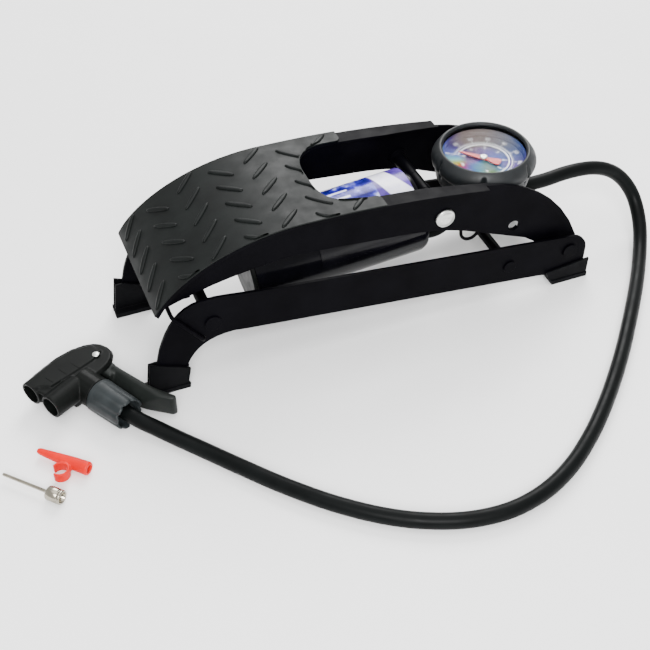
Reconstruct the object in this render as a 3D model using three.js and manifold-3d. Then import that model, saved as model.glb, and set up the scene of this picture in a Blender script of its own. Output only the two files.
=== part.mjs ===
// A foot air pump: a pressed steel base on four rubber feet, a hinged pedal with a checkered tread,
// a barrel slung under the pedal, a pressure gauge behind it, and a hose with a twin-nozzle chuck.
// Millimetres, +Z up, +X from the toe towards the hinge, +Y away from the side the hose lies on.
// The origin is on the floor, under the middle of the pump.
import * as THREE from "three";
import { mergeVertices } from "three/addons/utils/BufferGeometryUtils.js";
import Module from "manifold-3d";

const wasm = await Module();
wasm.setup();

// ---------- driving dimensions ----------
const GAP = 0.3; // left between pieces that touch
const ROUND = 18; // sides of a small round piece
const TO_MIDDLE = 1.5; // from the drawing's datum to the middle of the feet

// Pivots in the side view, as [x, z]
const HINGE = [128.3, 23.5];
const LUG = [40.5, 71.2];
const ROD_PIN = [-104, 42.8];
const CROSS_ROD = [85.8, 24];
const LATCH_PIVOT = [-110.4, 33.3];

// Base
const PLATE_IN = 37.6; // from the middle plane to a side plate's inner face
const PLATE_T = 1.8;
const PLATE_OUT = PLATE_IN + PLATE_T;
const HINGE_R = 4;
const ROD_PIN_R = 3.5;
const CROSS_ROD_R = 3.25;
const WIRE_R = 1.2;
const SOLE_T = 3;

// Pedal
const TOP_HALF = 38.9; // the top overhangs its flanges, which run between the side plates
const FLANGE_HALF = 34;
const SHEET = 1.5;
const TOE = [-135.4, 57.3];
const STRIP_END = 66; // where the two rails of the pedal's top stop
const RAIL_END_Z = 86.9;
const CUT_START = -31.5; // front of the U-shaped cut-out
const CUT_HALF = 28.8;
const CUT_CORNER = 23;
const TREAD_END = 1;
const TREAD_T = 1.9;
const HOLE = [88.2, 50.8]; // bracket hole in each flange

// Barrel, on its own axis: s runs from the rod pin towards the head
const BARREL_SLOPE = THREE.MathUtils.degToRad(5);
const BARREL_R = 25.8;
const WALL = 1.5;
const BARREL_START = 32.8;
const HEAD_FACE = 142;
const LUG_S = 146.4;
const LUG_UP = 15.7;
const ROD_R = 4;
const PISTON_S = 115.5;

// Gauge, on the pedal's middle plane
const GAUGE_X = 82.8;
const GAUGE_TOP = 88;
const GAUGE_R = 31.5;

// Hose and chuck
const HOSE_R = 4.5;
const HOSE_Z = 50.5; // height at which it leaves the gauge's tee
const CHUCK_AT = [-168, -13.7]; // lever rivet
const CHUCK_HEADING = THREE.MathUtils.degToRad(209.5); // the way the nozzles point
const CHUCK_TOP = 17.4;
const NOZZLE_Z = 12;
const COLLAR_X = 16.2; // from the rivet to the collar's axis, along the nozzles
const COLLAR_Z = 10.2;

// ---------- materials ----------
const paint = (color, roughness, metalness) =>
  new THREE.MeshStandardMaterial({ color, roughness, metalness });
const BLACK_PAINT = paint(0x0e0e12, 0.5, 0.3);
const TREAD_RUBBER = paint(0x1c1f1f, 0.6, 0);
const BLACK_RUBBER = paint(0x151617, 0.7, 0);
const BLACK_PLASTIC = paint(0x1d1f20, 0.45, 0);
const GREY_PLASTIC = paint(0x2c2f2f, 0.5, 0);
const BARREL_PAINT = paint(0x08080c, 0.25, 0.4);
const ZINC = paint(0xc9cbc4, 0.35, 0.9);
const STEEL = paint(0x9a9c9e, 0.3, 1);
const BRASS = paint(0xb08d4a, 0.3, 1);
const LABEL = paint(0x3a35a8, 0.35, 0);
const DIAL = paint(0x6a6fa8, 0.3, 0.2);
const GLASS = paint(0xdfe8ea, 0.05, 0);
const RED = paint(0xee3322, 0.4, 0);

// ---------- solids ----------
// A closed geometry as a manifold-3d solid.
function solid(geometry) {
  const bare = geometry.index ? geometry.toNonIndexed() : geometry.clone();
  for (const name of Object.keys(bare.attributes)) {
    if (name !== "position") bare.deleteAttribute(name);
  }
  const merged = mergeVertices(bare, 1e-3);
  const mesh = new wasm.Mesh({
    numProp: 3,
    vertProperties: merged.attributes.position.array,
    triVerts: new Uint32Array(merged.index.array),
  });
  return new wasm.Manifold(mesh);
}

// A manifold-3d solid as a geometry.
function geometryOf(made) {
  const mesh = made.getMesh();
  const geometry = new THREE.BufferGeometry();
  geometry.setAttribute("position", new THREE.BufferAttribute(mesh.vertProperties, 3));
  geometry.setIndex(new THREE.BufferAttribute(mesh.triVerts, 1));
  geometry.computeVertexNormals();
  return geometry;
}

const union = (first, ...rest) => rest.reduce((sum, g) => sum.add(solid(g)), solid(first));

// Joins a list of geometries and cuts another list out of them.
function carve(kept, removed = []) {
  const body = union(...kept);
  return geometryOf(removed.reduce((left, g) => left.subtract(solid(g)), body));
}

// Extrudes an outline drawn as (x, z) across Y, from y0 to y1.
function across(shape, y0, y1, curveSegments = 8) {
  const geometry = new THREE.ExtrudeGeometry(shape, {
    depth: y1 - y0,
    bevelEnabled: false,
    curveSegments,
  });
  return geometry.rotateX(Math.PI / 2).translate(0, y1, 0);
}

// Extrudes an outline drawn as (x, y) upwards, from z0 to z1.
function upright(shape, z0, z1, curveSegments = 8) {
  const geometry = new THREE.ExtrudeGeometry(shape, {
    depth: z1 - z0,
    bevelEnabled: false,
    curveSegments,
  });
  return geometry.translate(0, 0, z0);
}

const box = (x0, x1, y0, y1, z0, z1) =>
  new THREE.BoxGeometry(x1 - x0, y1 - y0, z1 - z0).translate(
    (x0 + x1) / 2,
    (y0 + y1) / 2,
    (z0 + z1) / 2,
  );

// A turned piece: the profile is [radius, distance] along +Y, +X or +Z.
function turned(profile, axis = "y", sides = ROUND) {
  const points = profile.map(([r, d]) => new THREE.Vector2(r, d));
  const geometry = new THREE.LatheGeometry(points, sides);
  if (axis === "x") geometry.rotateZ(-Math.PI / 2);
  if (axis === "z") geometry.rotateX(Math.PI / 2);
  return geometry;
}

// A ring's closed profile, between two radii and two distances.
const ringProfile = (r0, r1, d0, d1) => [[r0, d0], [r1, d0], [r1, d1], [r0, d1], [r0, d0]];

// A plain rod along an axis through (x, y, z), from d0 to d1.
function rod(r, d0, d1, axis, at = [0, 0, 0], sides = ROUND) {
  return turned([[0, d0], [r, d0], [r, d1], [0, d1]], axis, sides).translate(...at);
}

const rodAcross = ([x, z], r, y0, y1, sides) => rod(r, y0, y1, "y", [x, 0, z], sides);

function polygon(points) {
  const shape = new THREE.Shape();
  shape.setFromPoints(points.map(([a, b]) => new THREE.Vector2(a, b)));
  return shape;
}

function circle(r, sides) {
  const points = [];
  for (let i = 0; i < sides; i += 1) {
    const a = (2 * Math.PI * i) / sides;
    points.push([r * Math.cos(a), r * Math.sin(a)]);
  }
  return polygon(points);
}

// A bar of round section along a curve.
function swept(curve, r, sides, steps) {
  return new THREE.ExtrudeGeometry(circle(r, sides), { steps, extrudePath: curve });
}

const through = (points) =>
  new THREE.CatmullRomCurve3(points.map((p) => new THREE.Vector3(...p)));

// Everything is drawn from the barrel pump's own datum; this brings the feet to the middle.
const pump = new THREE.Group();
pump.position.x = TO_MIDDLE;

function add(name, geometry, material, group = pump) {
  const mesh = new THREE.Mesh(geometry, material);
  mesh.name = name;
  group.add(mesh);
  return mesh;
}

// Both halves of a pair: make(sign) draws the piece for the far side, and for the near one mirrored.
const SIDES = [["near", -1], ["far", 1]];
const span = (sign, a, b) => (sign > 0 ? [a, b] : [-b, -a]);

// ---------- base ----------
// The side plate: a straight bar that falls towards the hinge, with a long curved leg at the toe end.
function sidePlateShape() {
  const shape = new THREE.Shape();
  shape.moveTo(-123.6, 2.6);
  shape.lineTo(-120.2, 17.5);
  shape.bezierCurveTo(-116, 26.5, -108, 33.2, -92, 32.9);
  shape.lineTo(-84, 31.7);
  shape.lineTo(107, 9.4);
  shape.lineTo(115, 8);
  shape.lineTo(119, 2.6);
  shape.lineTo(140, 2.6);
  shape.absarc(128, 22.3, 12.2, 0, THREE.MathUtils.degToRad(84), false);
  shape.lineTo(-70, 56.4);
  shape.bezierCurveTo(-88, 58.4, -98, 61.5, -110, 60.6);
  shape.bezierCurveTo(-124, 59.5, -131, 47, -136, 32.5);
  shape.lineTo(-143.2, 2.6);
  return shape;
}

function addSidePlates() {
  for (const [side, sign] of SIDES) {
    const holes = [
      rodAcross(HINGE, HINGE_R + 0.35, -50, 50),
      rodAcross(ROD_PIN, ROD_PIN_R + 0.35, -50, 50),
      rodAcross(CROSS_ROD, CROSS_ROD_R + 0.35, -50, 50),
      rodAcross(LATCH_PIVOT, WIRE_R + 0.4, -50, 50, 12),
    ];
    const plate = across(sidePlateShape(), ...span(sign, PLATE_IN, PLATE_OUT));
    add(`base_side_${side}`, carve([plate], holes), BLACK_PAINT);
  }
}

// A rubber cap pushed over the end of a leg: a pocket for the plate, and a wider sole.
function footCap(sign, upper, sole, innerTop) {
  const wall = across(polygon(upper), ...span(sign, 35.9, 41));
  const foot = across(polygon(sole), ...span(sign, 31.2, 41.6));
  const [y0, y1] = span(sign, PLATE_IN - GAP, PLATE_OUT + GAP);
  const pocket = box(-160, 160, y0, y1, 2.3, 60);
  const [c0, c1] = span(sign, 30, PLATE_IN - 0.2);
  const innerCut = box(-160, 160, c0, c1, innerTop, 60);
  return carve([wall, foot], [pocket, innerCut]);
}

function addFeet() {
  const front = [[-145.9, 0], [-122.6, 0], [-119.6, 14.4], [-142.9, 24.4]];
  const frontSole = [[-146.2, 0], [-121, 0], [-120.6, SOLE_T], [-146.2, SOLE_T]];
  const back = [[118.6, 0], [142.9, 0], [143.1, 14.2], [113, 10.6], [114.6, 7]];
  const backSole = [[118, 0], [143.2, 0], [143.2, SOLE_T], [117, SOLE_T]];
  for (const [side, sign] of SIDES) {
    add(`foot_cap_front_${side}`, footCap(sign, front, frontSole, 22), BLACK_RUBBER);
    add(`foot_cap_back_${side}`, footCap(sign, back, backSole, 9.5), BLACK_RUBBER);
  }
}

// A pin across the frame, with a low head against each outer face.
function headedPin([x, z], r, headR, face, headT) {
  const profile = [
    [0, -face - headT],
    [headR, -face - headT],
    [headR, -face],
    [r, -face],
    [r, face],
    [headR, face],
    [headR, face + headT],
    [0, face + headT],
  ];
  return turned(profile).translate(x, 0, z);
}

function addBasePins() {
  const face = PLATE_OUT + GAP;
  add("rod_pin", headedPin(ROD_PIN, ROD_PIN_R, 5, face, 0.8), BLACK_PAINT);
  add("base_cross_rod", headedPin(CROSS_ROD, CROSS_ROD_R, 4.2, face, 0.8), BLACK_PAINT);
  add("hinge_pin", headedPin(HINGE, HINGE_R, 4.9, face, 0.8), BLACK_PAINT);
}

// The wire bail that holds the pedal down: it turns in the side plates, and its bar hooks under the toe.
const LATCH_BAR = [-127.3, 55.5];
const LATCH_Y = 41;

function latchCurve() {
  const [px, pz] = LATCH_PIVOT;
  const [bx, bz] = LATCH_BAR;
  const corner = 3;
  const up = new THREE.Vector3(bx - px, 0, bz - pz).normalize();
  const curve = new THREE.CurvePath();
  const at = (x, y, z, along = 0) => new THREE.Vector3(x, y, z).addScaledVector(up, along);
  const line = (a, b) => curve.add(new THREE.LineCurve3(a, b));
  const bend = (a, b, c) => curve.add(new THREE.QuadraticBezierCurve3(a, b, c));
  for (const sign of [-1, 1]) {
    const stub = at(px, sign * (PLATE_IN - 1), pz);
    const stubEnd = at(px, sign * (LATCH_Y - 0.4), pz);
    const foot = at(px, sign * LATCH_Y, pz);
    const legStart = at(px, sign * LATCH_Y, pz, 0.6);
    const legEnd = at(bx, sign * LATCH_Y, bz, -corner);
    const top = at(bx, sign * LATCH_Y, bz);
    const barStart = at(bx, sign * (LATCH_Y - corner), bz);
    if (sign < 0) {
      line(stub, stubEnd);
      bend(stubEnd, foot, legStart);
      line(legStart, legEnd);
      bend(legEnd, top, barStart);
      line(barStart, at(bx, LATCH_Y - corner, bz));
    } else {
      bend(barStart, top, legEnd);
      line(legEnd, legStart);
      bend(legStart, foot, stubEnd);
      line(stubEnd, stub);
    }
  }
  return curve;
}

function addLatch() {
  add("latch_wire", swept(latchCurve(), WIRE_R, 6, 72), BLACK_PAINT);
}

// ---------- pedal ----------
// The top line of the pedal from the toe to the end of its rails, moved by (dx, dz).
function topLine(shape, dx, dz, forward = true) {
  const p = (x, z) => [x + dx, z + dz];
  if (forward) {
    shape.bezierCurveTo(...p(-126.4, 74.4), ...p(-92, 96.6), ...p(-45, 95.6));
    shape.bezierCurveTo(...p(-8, 95.6), ...p(26, 93), ...p(STRIP_END, RAIL_END_Z));
  } else {
    shape.bezierCurveTo(...p(26, 93), ...p(-8, 95.6), ...p(-45, 95.6));
    shape.bezierCurveTo(...p(-92, 96.6), ...p(-126.4, 74.4), ...p(...TOE));
  }
}

// A flange in side view: the top line, the arm down to the hinge, and the lower edge back to the toe.
function flangeShape() {
  const shape = new THREE.Shape();
  shape.moveTo(...TOE);
  topLine(shape, 0, 0);
  shape.bezierCurveTo(90, 83, 119, 68.4, 134.6, 30.6);
  shape.absarc(HINGE[0], HINGE[1], 9.2, THREE.MathUtils.degToRad(48), THREE.MathUtils.degToRad(-110), true);
  shape.lineTo(106.5, 32.7);
  shape.lineTo(97.5, 39.2);
  shape.lineTo(56, 56.6);
  shape.quadraticCurveTo(34, 65, 5, 66.6);
  shape.quadraticCurveTo(-28, 70, -50, 71.3);
  shape.quadraticCurveTo(-92, 71, -133.2, 56);
  return shape;
}

// The top sheet in side view, from the toe to the end of the rails.
function topSheetShape() {
  const shape = new THREE.Shape();
  shape.moveTo(...TOE);
  topLine(shape, 0, 0);
  shape.lineTo(STRIP_END, RAIL_END_Z - SHEET);
  topLine(shape, 1.3, -SHEET, false);
  return shape;
}

// What is hollow between the flanges: everything under the top sheet, and all of it past the rails.
function pedalHollowShape() {
  const shape = new THREE.Shape();
  shape.moveTo(TOE[0] + 1.3, TOE[1] - SHEET);
  topLine(shape, 1.3, -SHEET);
  shape.lineTo(STRIP_END + 1.3, 110);
  shape.lineTo(150, 110);
  shape.lineTo(150, 0);
  shape.lineTo(-133, 0);
  return shape;
}

// The U-shaped cut-out seen from above, open towards the gauge.
function cutOutShape(inset) {
  const x0 = CUT_START - inset;
  const half = CUT_HALF + inset;
  const shape = new THREE.Shape();
  shape.moveTo(200, -half);
  shape.lineTo(200, half);
  shape.lineTo(x0 + CUT_CORNER, half);
  shape.bezierCurveTo(x0 + 8, half, x0, half - 8, x0, half - CUT_CORNER);
  shape.lineTo(x0, CUT_CORNER - half);
  shape.bezierCurveTo(x0, 8 - half, x0 + 8, -half, x0 + CUT_CORNER, -half);
  return shape;
}

// Narrows each rail towards its end, where the gauge stands.
function railTrim(sign) {
  const outline = [
    [30, sign * (CUT_HALF - 4)],
    [30, sign * CUT_HALF],
    [STRIP_END - 4, sign * 31.2],
    [STRIP_END + 20, sign * 31.2],
    [STRIP_END + 20, sign * (CUT_HALF - 4)],
  ];
  return upright(polygon(sign > 0 ? outline.reverse() : outline), 76, 110);
}

function addPedal() {
  const inside = FLANGE_HALF - SHEET;
  const flanges = across(flangeShape(), -FLANGE_HALF, FLANGE_HALF, 8);
  const hollow = across(pedalHollowShape(), -inside, inside, 8);
  const channel = carve([flanges], [hollow]);
  const top = across(topSheetShape(), -TOP_HALF, TOP_HALF, 8);
  const cuts = [
    upright(cutOutShape(0), 76, 110),
    railTrim(1),
    railTrim(-1),
    rodAcross(HINGE, HINGE_R + 0.35, -50, 50),
    rodAcross(LUG, 2.85, -50, 50, 16),
    rodAcross(HOLE, 3.8, -50, 50, 16),
  ];
  add("pedal_channel", carve([channel, top], cuts), BLACK_PAINT);

  const inner = FLANGE_HALF - SHEET - GAP;
  const sleeve = ringProfile(HINGE_R + 0.35, 6, -inner, inner);
  add("hinge_sleeve", turned(sleeve).translate(HINGE[0], 0, HINGE[1]), BLACK_PAINT);
  for (const [side, sign] of SIDES) {
    const washer = ringProfile(HINGE_R + 0.35, 7, ...span(sign, FLANGE_HALF + GAP, PLATE_IN - GAP));
    add(`hinge_washer_${side}`, turned(washer).translate(HINGE[0], 0, HINGE[1]), ZINC);
  }
}

// The moulded tread mat, which follows the pedal's top and stops short on the two rails.
function addTread() {
  const shape = new THREE.Shape();
  shape.moveTo(-135.65, 57.5);
  topLine(shape, -0.25, 0.25);
  shape.lineTo(STRIP_END - 1.2, RAIL_END_Z + TREAD_T);
  topLine(shape, -1.6, TREAD_T + 0.25, false);
  const mat = across(shape, -TOP_HALF - 0.3, TOP_HALF + 0.3, 9);
  const end = box(TREAD_END, 200, -60, 60, 60, 130);
  add("tread_mat", carve([mat], [upright(cutOutShape(-0.2), 60, 130), end]), TREAD_RUBBER);
}

// A strip under the toe that reaches down and hooks below the latch bar.
function addToeHook() {
  const [bx, bz] = LATCH_BAR;
  const inward = new THREE.Vector2(LATCH_PIVOT[0] - bx, LATCH_PIVOT[1] - bz).normalize();
  const along = new THREE.Vector2(inward.y, -inward.x); // down and away from the pedal
  const reach = WIRE_R + 0.5;
  const t = 1.6;
  const place = (deep, out) => [
    bx + inward.x * deep + along.x * out,
    bz + inward.y * deep + along.y * out,
  ];
  const outline = [
    place(reach, 3.2),
    place(reach, -2.6),
    [-121.6, 60],
    [-121.6, 69],
    [-119.8, 70.2],
    [-119.8, 58],
    place(reach + t, -3),
    place(reach + t, 3.2),
  ];
  add("toe_hook", across(polygon(outline), -7, 7), BLACK_PAINT);
}

// The rivet that carries the barrel's lug, with a spacer tube on each side of the lug.
function addLugPin() {
  const shank = 2.5;
  const face = FLANGE_HALF + GAP;
  const half = [[shank, face], [6, face], [6, face + 0.8], [4.6, face + 2.1], [0, face + 2.5]];
  const mirrored = half.map(([r, y]) => [r, -y]).reverse();
  add("lug_pin", turned([...mirrored, ...half], "y", 24).translate(LUG[0], 0, LUG[1]), ZINC);
  for (const [side, sign] of SIDES) {
    const bore = shank + 0.35;
    const end = FLANGE_HALF - SHEET - GAP;
    const tube = [[bore, 8.4], [4, 8.4], [4, end - 2.6], [5.8, end - 2.2], [5.8, end], [bore, end], [bore, 8.4]];
    const turnedTube = turned(sign > 0 ? tube : tube.map(([r, y]) => [r, -y]).reverse());
    add(`lug_pin_spacer_${side}`, turnedTube.translate(LUG[0], 0, LUG[1]), BLACK_PAINT);
  }
}

// ---------- barrel and rod ----------
const onBarrel = new THREE.Group();
onBarrel.position.set(ROD_PIN[0], 0, ROD_PIN[1]);
onBarrel.rotation.y = -BARREL_SLOPE;
pump.add(onBarrel);

const AIR_OUT = { s: HEAD_FACE + 3.2, y: 15, z: -8 }; // the elbow on the head

// The printed label, bent over the barrel's upper half between two distances along it.
function labelSheet(s0, s1) {
  const reach = THREE.MathUtils.degToRad(88);
  const sheet = new THREE.Shape();
  sheet.absarc(0, 0, BARREL_R + 0.6, Math.PI / 2 - reach, Math.PI / 2 + reach, false);
  sheet.absarc(0, 0, BARREL_R + 0.25, Math.PI / 2 + reach, Math.PI / 2 - reach, true);
  const turn = new THREE.Matrix4().makeBasis(
    new THREE.Vector3(0, 1, 0),
    new THREE.Vector3(0, 0, 1),
    new THREE.Vector3(1, 0, 0),
  );
  return upright(sheet, s0, s1, 20).applyMatrix4(turn);
}

function addBarrel() {
  const bore = BARREL_R - WALL;
  const tube = [
    [bore, BARREL_START],
    [BARREL_R, BARREL_START],
    [BARREL_R, HEAD_FACE - 4],
    [BARREL_R - 1.2, HEAD_FACE - 1.2],
    [BARREL_R - 4, HEAD_FACE],
    [0, HEAD_FACE],
    [0, HEAD_FACE - 1.6],
    [BARREL_R - 4.6, HEAD_FACE - 1.6],
    [bore, HEAD_FACE - 4.4],
    [bore, BARREL_START],
  ];
  const outlet = rod(1.9, 130, 155, "x", [0, AIR_OUT.y, AIR_OUT.z], 12);
  add("barrel_tube", carve([turned(tube, "x", 36)], [outlet]), BARREL_PAINT, onBarrel);

  const cap = [
    [ROD_R + 0.4, 30],
    [BARREL_R - 0.8, 30],
    [BARREL_R, 30.8],
    [BARREL_R, BARREL_START - GAP],
    [bore - GAP, BARREL_START - GAP],
    [bore - GAP, 35.4],
    [ROD_R + 0.4, 35.4],
    [ROD_R + 0.4, 30],
  ];
  add("barrel_cap", turned(cap, "x", 36), GREY_PLASTIC, onBarrel);

  add("barrel_label", labelSheet(72, HEAD_FACE - 4.4), LABEL, onBarrel);

  const eye = rod(4.1, -8, 8, "y", [LUG_S, 0, LUG_UP]);
  const web = box(HEAD_FACE + GAP, LUG_S - 2, -8, 8, -6, LUG_UP);
  const hole = rod(2.85, -20, 20, "y", [LUG_S, 0, LUG_UP], 16);
  add("barrel_lug", carve([eye, web], [hole]), BLACK_PAINT, onBarrel);

  const { s, y, z } = AIR_OUT;
  const stub = rod(3.2, HEAD_FACE + GAP, s + 2.3, "x", [0, y, z], 14);
  const barb = rod(2.2, z - 11, z, "z", [s, y, 0], 14);
  add("barrel_outlet", carve([stub, barb]), BRASS, onBarrel);

  const flap = rod(7, HEAD_FACE - 3.4, HEAD_FACE - 2, "x", [0, AIR_OUT.y - 2, AIR_OUT.z + 1], 16);
  add("check_valve", flap, BLACK_RUBBER, onBarrel);
}

// The spring that lifts the pedal: packed between piston and head when the pedal is down.
function springCurve() {
  const turns = 5;
  const from = PISTON_S + 13.6;
  const to = HEAD_FACE - 4.6;
  const points = [];
  for (let i = 0; i <= turns * 12; i += 1) {
    const a = (2 * Math.PI * i) / 12;
    points.push([from + ((to - from) * i) / (turns * 12), 17 * Math.cos(a), 17 * Math.sin(a)]);
  }
  return through(points);
}

function addRod() {
  add("piston_rod", rod(ROD_R, 7.6, PISTON_S - GAP, "x"), STEEL, onBarrel);

  // The rod's end sits over the rod pin and is open below, where the pin leaves it.
  const r = ROD_PIN_R + 0.5;
  const saddle = new THREE.Shape();
  saddle.moveTo(7.3, -1);
  saddle.lineTo(7.3, 4.6);
  saddle.absarc(0, 0, 8, 0.6, Math.PI, false);
  saddle.lineTo(-8, -5);
  saddle.lineTo(-4.6, -5);
  saddle.lineTo(-r, 0);
  saddle.absarc(0, 0, r, Math.PI, 0.35, true);
  saddle.lineTo(4.6, -1);
  add("rod_saddle", across(saddle, -8, 8), BLACK_PAINT, onBarrel);

  const bore = BARREL_R - WALL;
  const disc = [
    [0, PISTON_S],
    [bore - 1, PISTON_S],
    [bore - 1, PISTON_S + 5],
    [8, PISTON_S + 5],
    [8, PISTON_S + 9],
    [0, PISTON_S + 9],
  ];
  add("piston", turned(disc, "x", 32), GREY_PLASTIC, onBarrel);
  const cup = [
    [8.4, PISTON_S + 5.3],
    [bore - 0.6, PISTON_S + 5.3],
    [bore - 0.3, PISTON_S + 10],
    [bore - 1.9, PISTON_S + 10],
    [bore - 2.4, PISTON_S + 7.2],
    [8.4, PISTON_S + 7.2],
    [8.4, PISTON_S + 5.3],
  ];
  add("piston_cup", turned(cup, "x", 32), BLACK_RUBBER, onBarrel);
  const spring = swept(springCurve(), 0.55, 5, 70);
  add("return_spring", spring, STEEL, onBarrel);
}

// ---------- gauge ----------
const inGauge = new THREE.Group();
inGauge.position.set(GAUGE_X, 0, 0);
pump.add(inGauge);

function addGauge() {
  const inner = FLANGE_HALF - SHEET - GAP;
  const strap = box(-5, 9, -inner, inner, 62.2, 63.7);
  const ears = SIDES.map(([, sign]) => box(-5, 9, ...span(sign, inner - SHEET, inner), 46.4, 63.7));
  const stemHole = rod(6.5, 60, 66, "z");
  const earHole = rodAcross([HOLE[0] - GAUGE_X + 0.9, HOLE[1] - 0.6], 3.2, -50, 50, 16);
  add("gauge_bracket", carve([strap, ...ears], [stemHole, earHole]), BLACK_PAINT, inGauge);

  const rim = GAUGE_R - 4.9;
  const cup = [
    [0, 61.9],
    [6.1, 61.9],
    [6.1, 64.1],
    [20, 64.1],
    [rim - 1, 67.4],
    [rim, 70],
    [rim, 83.6],
    [rim - 1.2, 83.6],
    [rim - 1.2, 67.8],
    [19, 66],
    [0, 66],
  ];
  add("gauge_cup", turned(cup, "z", 28), BLACK_PAINT, inGauge);

  const boot = [
    [rim + 0.35, 66.8],
    [27.8, 66.4],
    [29.2, 70.5],
    [30.7, 75.5],
    [GAUGE_R, 80.5],
    [31, 84.6],
    [29.4, 87.3],
    [27.2, GAUGE_TOP],
    [25.3, 87.2],
    [25.2, 85.8],
    [rim + 0.35, 85.7],
    [rim + 0.35, 66.8],
  ];
  add("gauge_boot", turned(boot, "z", 36), BLACK_RUBBER, inGauge);

  add("gauge_movement", box(-9, 9, -6, 6, 66.4, 76.5), BRASS, inGauge);
  const bourdon = new THREE.CatmullRomCurve3(
    [200, 240, 280, 320, 360, 400, 440].map((deg) => {
      const a = THREE.MathUtils.degToRad(deg);
      return new THREE.Vector3(19 * Math.cos(a), 19 * Math.sin(a), 74);
    }),
  );
  add("bourdon_tube", swept(bourdon, 1.8, 8, 20), BRASS, inGauge);
  add("gauge_dial", rod(rim - 1.6, 79.6, 80.4, "z", [0, 0, 0], 36), DIAL, inGauge);
  add("gauge_lens", rod(rim - 0.3, 83.9, 85.4, "z", [0, 0, 0], 36), GLASS, inGauge);
  addPointer();
}

// The pointer rests on its zero stop, towards the toe.
const POINTER_HEADING = THREE.MathUtils.degToRad(168);

function addPointer() {
  const needle = [[-12, -2], [-12, 2], [-2, 1], [18.5, 0.35], [18.5, -0.35], [-2, -1]];
  const turn = new THREE.Group();
  turn.rotation.z = POINTER_HEADING;
  inGauge.add(turn);
  add("gauge_pointer", upright(polygon(needle.reverse()), 81.3, 81.8), RED, turn);
  add("pointer_hub", turned([[0, 82.1], [2.3, 82.1], [2, 82.9], [0, 83.1]], "z"), ZINC, inGauge);
}

function addTee() {
  const block = box(0, 12, -7, 7, HOSE_Z - 4.5, 61.5);
  const hoseBarb = rod(2.8, 11, 14, "x", [0, 0, HOSE_Z], 14);
  const airBarb = rod(2.4, -7, 1, "x", [0, 0, 56], 14);
  add("gauge_tee", carve([block, hoseBarb, airBarb]), BRASS, inGauge);
  const ferrule = ringProfile(HOSE_R + 0.4, 6, 14.5, 26);
  add("hose_ferrule", turned(ferrule, "x").translate(0, 0, HOSE_Z), ZINC, inGauge);
}

// The short flexible tube from the barrel's head to the tee, and the wire clip that closes on it.
function addAirTube() {
  const { s, y, z } = AIR_OUT;
  const foot = new THREE.Vector3(s, y, z - 11 - GAP);
  const below = new THREE.Vector3(s, y, z - 15);
  onBarrel.updateMatrix();
  foot.applyMatrix4(onBarrel.matrix);
  below.applyMatrix4(onBarrel.matrix);
  const route = [
    foot.toArray(),
    below.toArray(),
    [44.5, 14, 26],
    [51, 10.5, 23.5],
    [58, 6, 27],
    [62.5, 2, 35],
    [64, 0.2, 45],
    [66.5, 0, 53],
    [71.5, 0, 56],
    [GAUGE_X - 7 - GAP, 0, 56],
  ];
  add("air_tube", swept(through(route), 3.5, 8, 28), BLACK_RUBBER);
}

// A wire loop that hangs inside the near flange, beside the tube.
function addTubeGuide() {
  const y = SHEET + 1.4 - FLANGE_HALF;
  const points = [[54, y, 62]];
  for (let i = 0; i <= 8; i += 1) {
    const a = Math.PI * (1 + i / 8);
    points.push([60 + 6 * Math.cos(a), y, 54 + 6.6 * Math.sin(a)]);
  }
  points.push([66, y, 62]);
  add("tube_guide", swept(through(points), 1.1, 6, 20), BLACK_PAINT);
}

// ---------- hose ----------
// The hose's middle line, from the tee down to the floor, round in a wide bow, and into the chuck.
const HOSE_ROUTE = [
  [GAUGE_X + 14.3, 0, HOSE_Z],
  [106, 0, 50.5],
  [118, 0, 50.6],
  [130, 0, 50.8],
  [141.6, 0.2, 51.9],
  [153.5, 0.6, 51.7],
  [164.7, 1, 49.9],
  [175.1, 1, 46.2],
  [184.1, 0, 40.5],
  [191, -3, 33.1],
  [194.9, -8, 25.2],
  [195, -15.5, 17.9],
  [192.3, -24.4, 11.8],
  [187, -34.3, 7.2],
  [178.6, -46.8, 5],
  [167.1, -62.1, 4.7],
  [153, -79.5, 4.7],
  [137.9, -97.3, 4.7],
  [121.8, -115.5, 4.7],
  [103.6, -134.5, 4.7],
  [85.5, -151.7, 4.7],
  [68.3, -166.1, 4.7],
  [49.6, -178.9, 4.7],
  [29, -188.4, 4.7],
  [6.8, -192.7, 4.7],
  [-15.3, -190.7, 4.7],
  [-36.9, -183.2, 4.7],
  [-57.3, -171.4, 4.7],
  [-78.3, -154.1, 4.7],
  [-98.1, -133.3, 4.7],
  [-115.5, -112.1, 4.7],
  [-129.1, -95.1, 4.9],
  [-140.3, -82.5, 6.2],
  [-149.2, -73.1, 8.2],
  [-156.4, -65.6, 9.8],
  [-160.9, -59, COLLAR_Z],
  [-165.4, -51.2, COLLAR_Z],
  [-171.6, -40.2, COLLAR_Z],
];

function addHose() {
  add("hose", swept(through(HOSE_ROUTE), HOSE_R, 8, 58), BLACK_RUBBER);
}

// ---------- chuck ----------
// Local frame: the lever's rivet at the origin, +X the way the nozzles point, +Y towards the hose.
const inChuck = new THREE.Group();
inChuck.position.set(CHUCK_AT[0], CHUCK_AT[1], 0);
inChuck.rotation.z = CHUCK_HEADING;
pump.add(inChuck);

const NOZZLES = [["far", -10.6], ["near", 5.8]];
const MOUTH = 40.8;
const SLOT = [4.6, 15.2]; // heights of the lever's slot

// The flat rear of the body, drawn inside its chamfer.
function chuckOutline() {
  const shape = new THREE.Shape();
  shape.moveTo(26, -14);
  shape.lineTo(26, 9.4);
  shape.lineTo(6, 10.2);
  shape.bezierCurveTo(-4, 10.2, -8.6, 5, -8.6, -1);
  shape.bezierCurveTo(-8.6, -8, -3, -13, 8, -14);
  return shape;
}

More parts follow.
